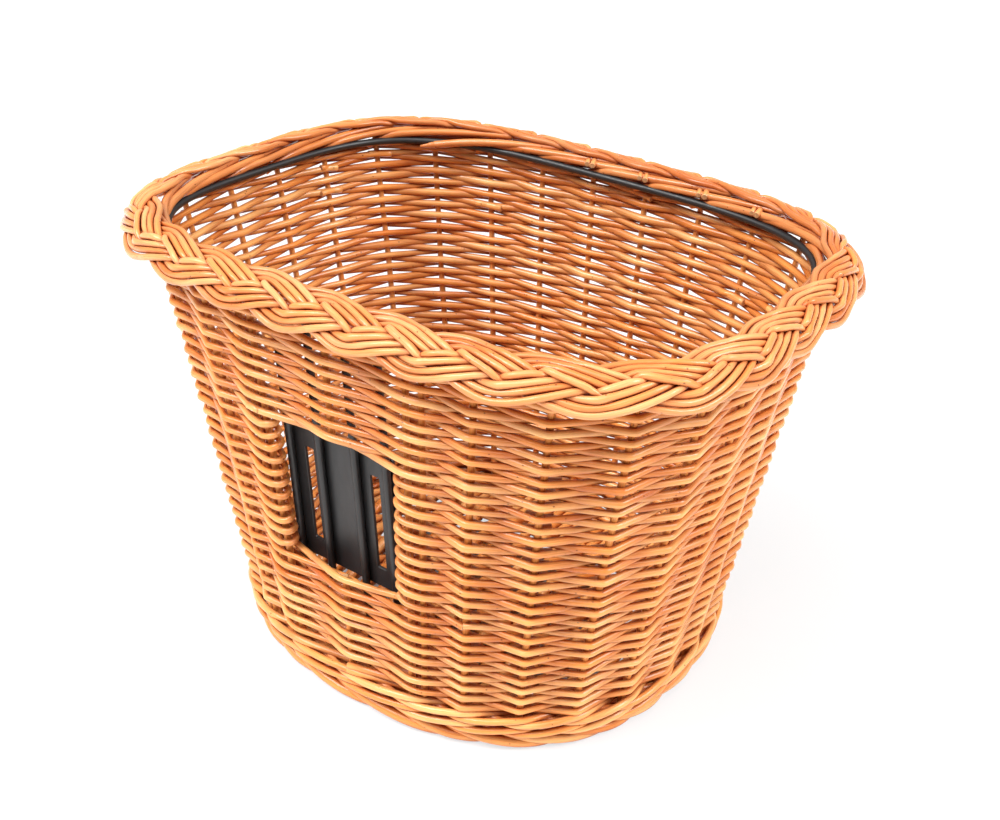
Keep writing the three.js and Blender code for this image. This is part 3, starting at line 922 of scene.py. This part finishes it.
for strand in range(plait["strands"]):
    rods = plaitRods(strand) + bentEndRods(strand) + (cutEndRods() if strand == 0 else [])
    makePiece(f"plaitStrand{strand + 1}", rods, borderFinish, "border_willow", f"border_strand_{strand + 1}")

# foot: stake butts rolled over, each out past the next stake, down and under, round one hidden core
foot = {
    "coreRadius": 3.6 * mm,
    "coreOut": -2.6 * mm,
    "coreLevel": 5.2 * mm,
    "coreSamples": 200,
    "radius": 3.1 * mm,
    "radiusSpread": (0.9, 1.06),
    "taper": (1.0, 1.06),
    "ahead": (-0.55, -0.1, 0.35, 0.8, 1.2, 1.5),
    "out": (-3.5 * mm, 1.6 * mm, 3.3 * mm, 3.1 * mm, 1.2 * mm, -2.5 * mm),
    "level": (10 * mm, 8.9 * mm, 6.6 * mm, 4.6 * mm, 3.65 * mm, 3.55 * mm),
    "longer": 0.25,
    "longerSpread": (-0.4, 1),
    "aheadShift": 0.05,
    "outShift": 0.35 * mm,
    "samples": 26,
    "sides": 12,
    "smoothRounds": 4,
    "seed": 41,
}
footRng = np.random.default_rng(foot["seed"])


def footRod(number):
    share = np.linspace(0, 1, foot["samples"])
    marks = np.linspace(0, 1, len(foot["ahead"]))
    stretch = 1 + foot["longer"] * footRng.uniform(*foot["longerSpread"])
    ahead = np.interp(share, marks, foot["ahead"]) * stretch
    station = number + footRng.normal(0, foot["aheadShift"]) + ahead
    out = np.interp(share, marks, foot["out"]) + footRng.normal(0, foot["outShift"])
    points = wallAt(stationTurn(station), 0.0, out)
    points[:, 2] = np.interp(share, marks, foot["level"])
    for _ in range(foot["smoothRounds"]):
        points = smoothed(points)
    radius = foot["radius"] * footRng.uniform(*foot["radiusSpread"])
    radius = radius * np.linspace(*foot["taper"], len(points))
    return makeRod(points, radius, sides=foot["sides"], tone=footRng.uniform(0, 1))


corePoints = wallAt(evenTurns(foot["coreSamples"]), 0.0, foot["coreOut"])
corePoints[:, 2] = foot["coreLevel"]
footRods = [makeRod(corePoints, foot["coreRadius"], sides=foot["sides"], closed=True)]
footRods += [footRod(i) for i in range(wall["stakes"])]
makePiece("footBorder", footRods, weaveFinish, "weave_willow", "foot_border")

# base: long sticks with rods woven across them and two rods round the edge
base = {
    "sticks": 5,
    "stickSpacing": 36 * mm,
    "stickRadius": 2.5 * mm,
    "stickSamples": 12,
    "stickSides": 10,
    "weaverRadius": 3.3 * mm,
    "weaverSpread": (0.93, 1.03),
    "weaverSamples": 48,
    "pitch": 6.6 * mm,
    "level": 10 * mm,
    "inside": 9.85 * mm,
    "edgeOut": (-9.4 * mm, -9.2 * mm),
    "edgeLevel": (9 * mm, 14 * mm),
    "edgeRadius": (3.1 * mm, 2.4 * mm),
    "edgeSamples": 160,
    "seed": 53,
}
baseRng = np.random.default_rng(base["seed"])
matInset = base["inside"] + base["weaverRadius"] * math.sqrt(0.5)
matHalfWidth = wall["footWidth"] / 2 - matInset
matHalfDepth = wall["footDepth"] / 2 - matInset


def ovalReach(distance, alongHalf, acrossHalf):
    rest = 1 - np.minimum(np.abs(distance) / acrossHalf, 1) ** wall["footSquareness"]
    return alongHalf * rest ** (1 / wall["footSquareness"])


baseReach = base["stickRadius"] + base["weaverRadius"]
stickPlaces = [(j - (base["sticks"] - 1) / 2) * base["stickSpacing"] for j in range(base["sticks"])]
stickRods = []
for y in stickPlaces:
    half = float(ovalReach(abs(y) + baseReach, matHalfWidth, matHalfDepth)) - base["weaverRadius"]
    x = np.linspace(-half, half, base["stickSamples"])
    points = np.stack([x, np.full(len(x), y + wall["footShift"]), np.full(len(x), base["level"])], -1)
    tone = baseRng.uniform(0, 1)
    stickRods.append(makeRod(points, base["stickRadius"], sides=base["stickSides"], tone=tone))
stickNodes = [f"base_stick_{j + 1}" for j in range(base["sticks"])]
makePiece("baseSticks", stickRods, stakeFinish, "stake_willow", *stickNodes)

shortest = 2 * (baseReach + base["weaverRadius"])
matRows = 1 + 2 * int(ovalReach(shortest, matHalfWidth, matHalfDepth) // base["pitch"])
matRods = []
for row in range(matRows):
    x = (row - (matRows - 1) / 2) * base["pitch"]
    half = float(ovalReach(x, matHalfDepth, matHalfWidth))
    y = np.linspace(-half, half, base["weaverSamples"])
    crossing = np.interp(y, stickPlaces, np.arange(base["sticks"]), left=-0.5, right=base["sticks"] - 0.5)
    z = base["level"] + baseReach * np.cos(np.pi * (crossing + row))
    points = np.stack([np.full(len(y), x), y + wall["footShift"], z], -1)
    radius = base["weaverRadius"] * baseRng.uniform(*base["weaverSpread"])
    matRods.append(makeRod(points, radius, tone=baseRng.uniform(0, 1)))
for out, level, radius in zip(base["edgeOut"], base["edgeLevel"], base["edgeRadius"]):
    edgePoints = wallAt(evenTurns(base["edgeSamples"]), level, out)
    matRods.append(makeRod(edgePoints, radius, closed=True, tone=baseRng.uniform(0, 1)))
makePiece("baseMat", matRods, weaveFinish, "weave_willow", "base_weave")

# steel frame
hoop = {"radius": 2.15 * mm, "out": -9.15 * mm, "samples": 240, "sides": 16}
hoopLow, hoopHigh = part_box("rim_hoop")
hoopPoints = wallAt(evenTurns(hoop["samples"]), wall["height"], hoop["out"])
hoopPoints[:, 2] = (hoopLow.z + hoopHigh.z) / 2
hoopRod = makeRod(hoopPoints, hoop["radius"], sides=hoop["sides"], closed=True)
makePiece("rimHoop", [hoopRod], blackSteel, "black_steel", "rim_hoop")

wire = {"radius": 2.2 * mm, "steps": 20, "sides": 16, "rounding": 0.45}


def wireRod(node):
    low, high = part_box(node)
    x = (low.x + high.x) / 2
    lean = math.atan2(high.y - low.y - 2 * wire["radius"], high.z - low.z)
    inset = wire["radius"] * math.cos(lean)
    share = np.linspace(0, 1, wire["steps"])
    y = high.y - inset + share * (low.y - high.y + 2 * inset)
    z = low.z + wire["radius"] * wire["rounding"] + share * (high.z - low.z - wire["radius"])
    points = np.stack([np.full(len(share), x), y, z], -1)
    return makeRod(points, wire["radius"], sides=wire["sides"], rounding=wire["rounding"])


for place in ("outer_left", "inner_left", "inner_right", "outer_right"):
    name = "upright" + place.title().replace("_", "")
    makePiece(name, [wireRod(f"upright_{place}")], blackSteel, "black_steel", f"upright_{place}")

plate = {
    "width": 75 * mm,
    "height": 91 * mm,
    "thickness": 2 * mm,
    "corner": 2 * mm,
    "edge": 0.35 * mm,
    "edgeSteps": 2,
    "slotWidth": 6.2 * mm,
    "slotLength": 62 * mm,
    "slotSpacing": 47 * mm,
    "slotRise": 13 * mm,
    "slotCorner": 1 * mm,
    "cornerSteps": 6,
}


def roundedOutline(x, y, width, height, corner):
    points = []
    centres = ((x + width - corner, y + corner), (x + width - corner, y + height - corner),
               (x + corner, y + height - corner), (x + corner, y + corner))
    for quarter, (cx, cy) in enumerate(centres):
        for step in range(plate["cornerSteps"] + 1):
            angle = (quarter - 1 + step / plate["cornerSteps"]) * math.pi / 2
            points.append((cx + corner * math.cos(angle), cy + corner * math.sin(angle)))
    return points


def makePlate():
    drawing = bpy.data.curves.new("plateDrawing", "CURVE")
    drawing.dimensions = "2D"
    drawing.fill_mode = "BOTH"
    drawing.extrude = plate["thickness"] / 2 - plate["edge"]
    drawing.bevel_depth = plate["edge"]
    drawing.bevel_resolution = plate["edgeSteps"]
    drawing.offset = -plate["edge"]
    outlines = [roundedOutline(-plate["width"] / 2, 0, plate["width"], plate["height"], plate["corner"])]
    for sign in (-1, 1):
        left = sign * plate["slotSpacing"] / 2 - plate["slotWidth"] / 2
        slot = roundedOutline(left, plate["slotRise"], plate["slotWidth"], plate["slotLength"],
                              plate["slotCorner"])
        outlines.append(slot)
    for outline in outlines:
        spline = drawing.splines.new("POLY")
        spline.points.add(len(outline) - 1)
        spline.use_cyclic_u = True
        for point, (x, y) in zip(spline.points, outline):
            point.co = (x, y, 0, 1)
    sketch = addObject("plateDrawing", drawing)
    bpy.context.view_layer.update()
    mesh = bpy.data.meshes.new_from_object(sketch.evaluated_get(bpy.context.evaluated_depsgraph_get()))
    bpy.data.objects.remove(sketch)
    low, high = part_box("mount_plate")
    lean = math.asin((high.y - low.y) / math.hypot(high.y - low.y, high.z - low.z))
    lean -= math.atan2(plate["thickness"], plate["height"])
    middle = (low + high) / 2
    stand = Matrix.Translation(middle) @ Matrix.Rotation(math.pi / 2 + lean, 4, "X")
    mesh.transform(stand @ Matrix.Translation((0, -plate["height"] / 2, 0)))
    mesh.name = "mountPlate"
    mesh.materials.clear()
    mesh.materials.append(blackSteel)
    piece = addObject("mountPlate", mesh)
    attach(piece, "root")
    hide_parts("mount_plate")
    print("mountPlate made,", len(mesh.polygons), "faces")


makePlate()

# floor, light and camera
studio = {
    "floorSize": 40.0,
    "floorColour": (0.90, 0.90, 0.90, 1),
    "floorRoughness": 0.9,
    "floorSpecular": 0.1,
    "floorGlow": 0.72,
    "underHalf": (100 * mm, 76 * mm),
    "underEdge": (0.95, 1.05),
    "skyLight": 0.24,
    "sheen": 0.4,
    "suns": {
        "leftSoftbox": {"azimuth": -40, "elevation": 48, "strength": 2.7, "angle": 24},
        "rightSoftbox": {"azimuth": 108, "elevation": 42, "strength": 2.7, "angle": 24},
        "frontSoftbox": {"azimuth": 0, "elevation": 64, "strength": 2.0, "angle": 45},
    },
}


def makeFloor():
    half = studio["floorSize"] / 2
    mesh = bpy.data.meshes.new("floor")
    corners = [(-half, -half, 0), (half, -half, 0), (half, half, 0), (-half, half, 0)]
    mesh.from_pydata(corners, [], [(0, 1, 2, 3)])
    finish, tree, shader = newFinish("palePaper")
    shader.inputs["Base Color"].default_value = studio["floorColour"]
    shader.inputs["Roughness"].default_value = studio["floorRoughness"]
    shader.inputs["Specular IOR Level"].default_value = studio["floorSpecular"]
    path = addNode(tree, "ShaderNodeLightPath")  # seen directly, most of the paper is plain white
    glow = addNode(tree, "ShaderNodeEmission")
    blend = addNode(tree, "ShaderNodeMixShader")
    under = addNode(tree, "ShaderNodeVectorMath", operation="DIVIDE")  # and it stays dark under the basket
    tree.links.new(addNode(tree, "ShaderNodeNewGeometry").outputs["Position"], under.inputs[0])
    under.inputs[1].default_value = (*studio["underHalf"], 1)
    reach = addNode(tree, "ShaderNodeVectorMath", operation="LENGTH")
    tree.links.new(under.outputs["Vector"], reach.inputs[0])
    bright = mapValue(tree, reach.outputs["Value"], studio["underEdge"], (0.0, studio["floorGlow"]), True)
    tree.links.new(workOut(tree, "MULTIPLY", path.outputs["Is Camera Ray"], bright), blend.inputs["Fac"])
    tree.links.new(shader.outputs["BSDF"], blend.inputs[1])
    tree.links.new(glow.outputs["Emission"], blend.inputs[2])
    tree.links.new(blend.outputs["Shader"], tree.nodes["Material Output"].inputs["Surface"])
    mesh.materials.append(finish)
    floor = addObject("floor", mesh)


def makeSky():
    world = bpy.data.worlds.new("studio")
    bpy.context.scene.world = world
    world.use_nodes = True
    tree = world.node_tree
    tree.nodes.clear()
    path = addNode(tree, "ShaderNodeLightPath")
    mirrored = workOut(tree, "MULTIPLY", path.outputs["Is Glossy Ray"], studio["sheen"])
    seen = workOut(tree, "MAXIMUM", path.outputs["Is Camera Ray"], mirrored)
    seen = workOut(tree, "MAXIMUM", seen, path.outputs["Is Transmission Ray"])
    sky = addNode(tree, "ShaderNodeBackground")
    sky.inputs["Color"].default_value = (1, 1, 1, 1)
    tree.links.new(mapValue(tree, seen, (0.0, 1.0), (studio["skyLight"], 1.0)), sky.inputs["Strength"])
    output = addNode(tree, "ShaderNodeOutputWorld")
    tree.links.new(sky.outputs["Background"], output.inputs["Surface"])


def aimFrom(azimuth, elevation):
    a, e = math.radians(azimuth), math.radians(elevation)
    return Vector((math.sin(a) * math.cos(e), -math.cos(a) * math.cos(e), math.sin(e)))


def makeLights():
    for name, lamp in studio["suns"].items():
        light = bpy.data.lights.new(name, "SUN")
        light.energy = lamp["strength"]
        light.angle = math.radians(lamp["angle"])
        holder = addObject(name, light)
        holder.rotation_mode = "QUATERNION"
        holder.rotation_quaternion = aimFrom(lamp["azimuth"], lamp["elevation"]).to_track_quat("Z", "Y")


camera = {
    "azimuth": 36.27,
    "elevation": 28.72,
    "roll": 0.0312,
    "distance": 856.05 * mm,
    "target": (3.17 * mm, 11.41 * mm, 138.2 * mm),
    "lens": 51.6,
    "sensor": 36.0,
}


def makeCamera():
    back = aimFrom(camera["azimuth"], camera["elevation"])
    right = (-back).cross(Vector((0, 0, 1))).normalized()
    top = right.cross(-back)
    c, s = math.cos(camera["roll"]), math.sin(camera["roll"])
    right, top = right * c + top * s, top * c - right * s
    data = bpy.data.cameras.new("photoCamera")
    data.lens = camera["lens"]
    data.sensor_width = camera["sensor"]
    holder = addObject("photoCamera", data)
    turn = Matrix((right, top, back)).transposed().to_4x4()
    holder.matrix_world = Matrix.Translation(Vector(camera["target"]) + back * camera["distance"]) @ turn
    bpy.context.scene.camera = holder


makeFloor()
makeSky()
makeLights()
makeCamera()
bpy.context.scene.view_settings.view_transform = "Standard"
print("studio ready")

bpy.context.view_layer.update()
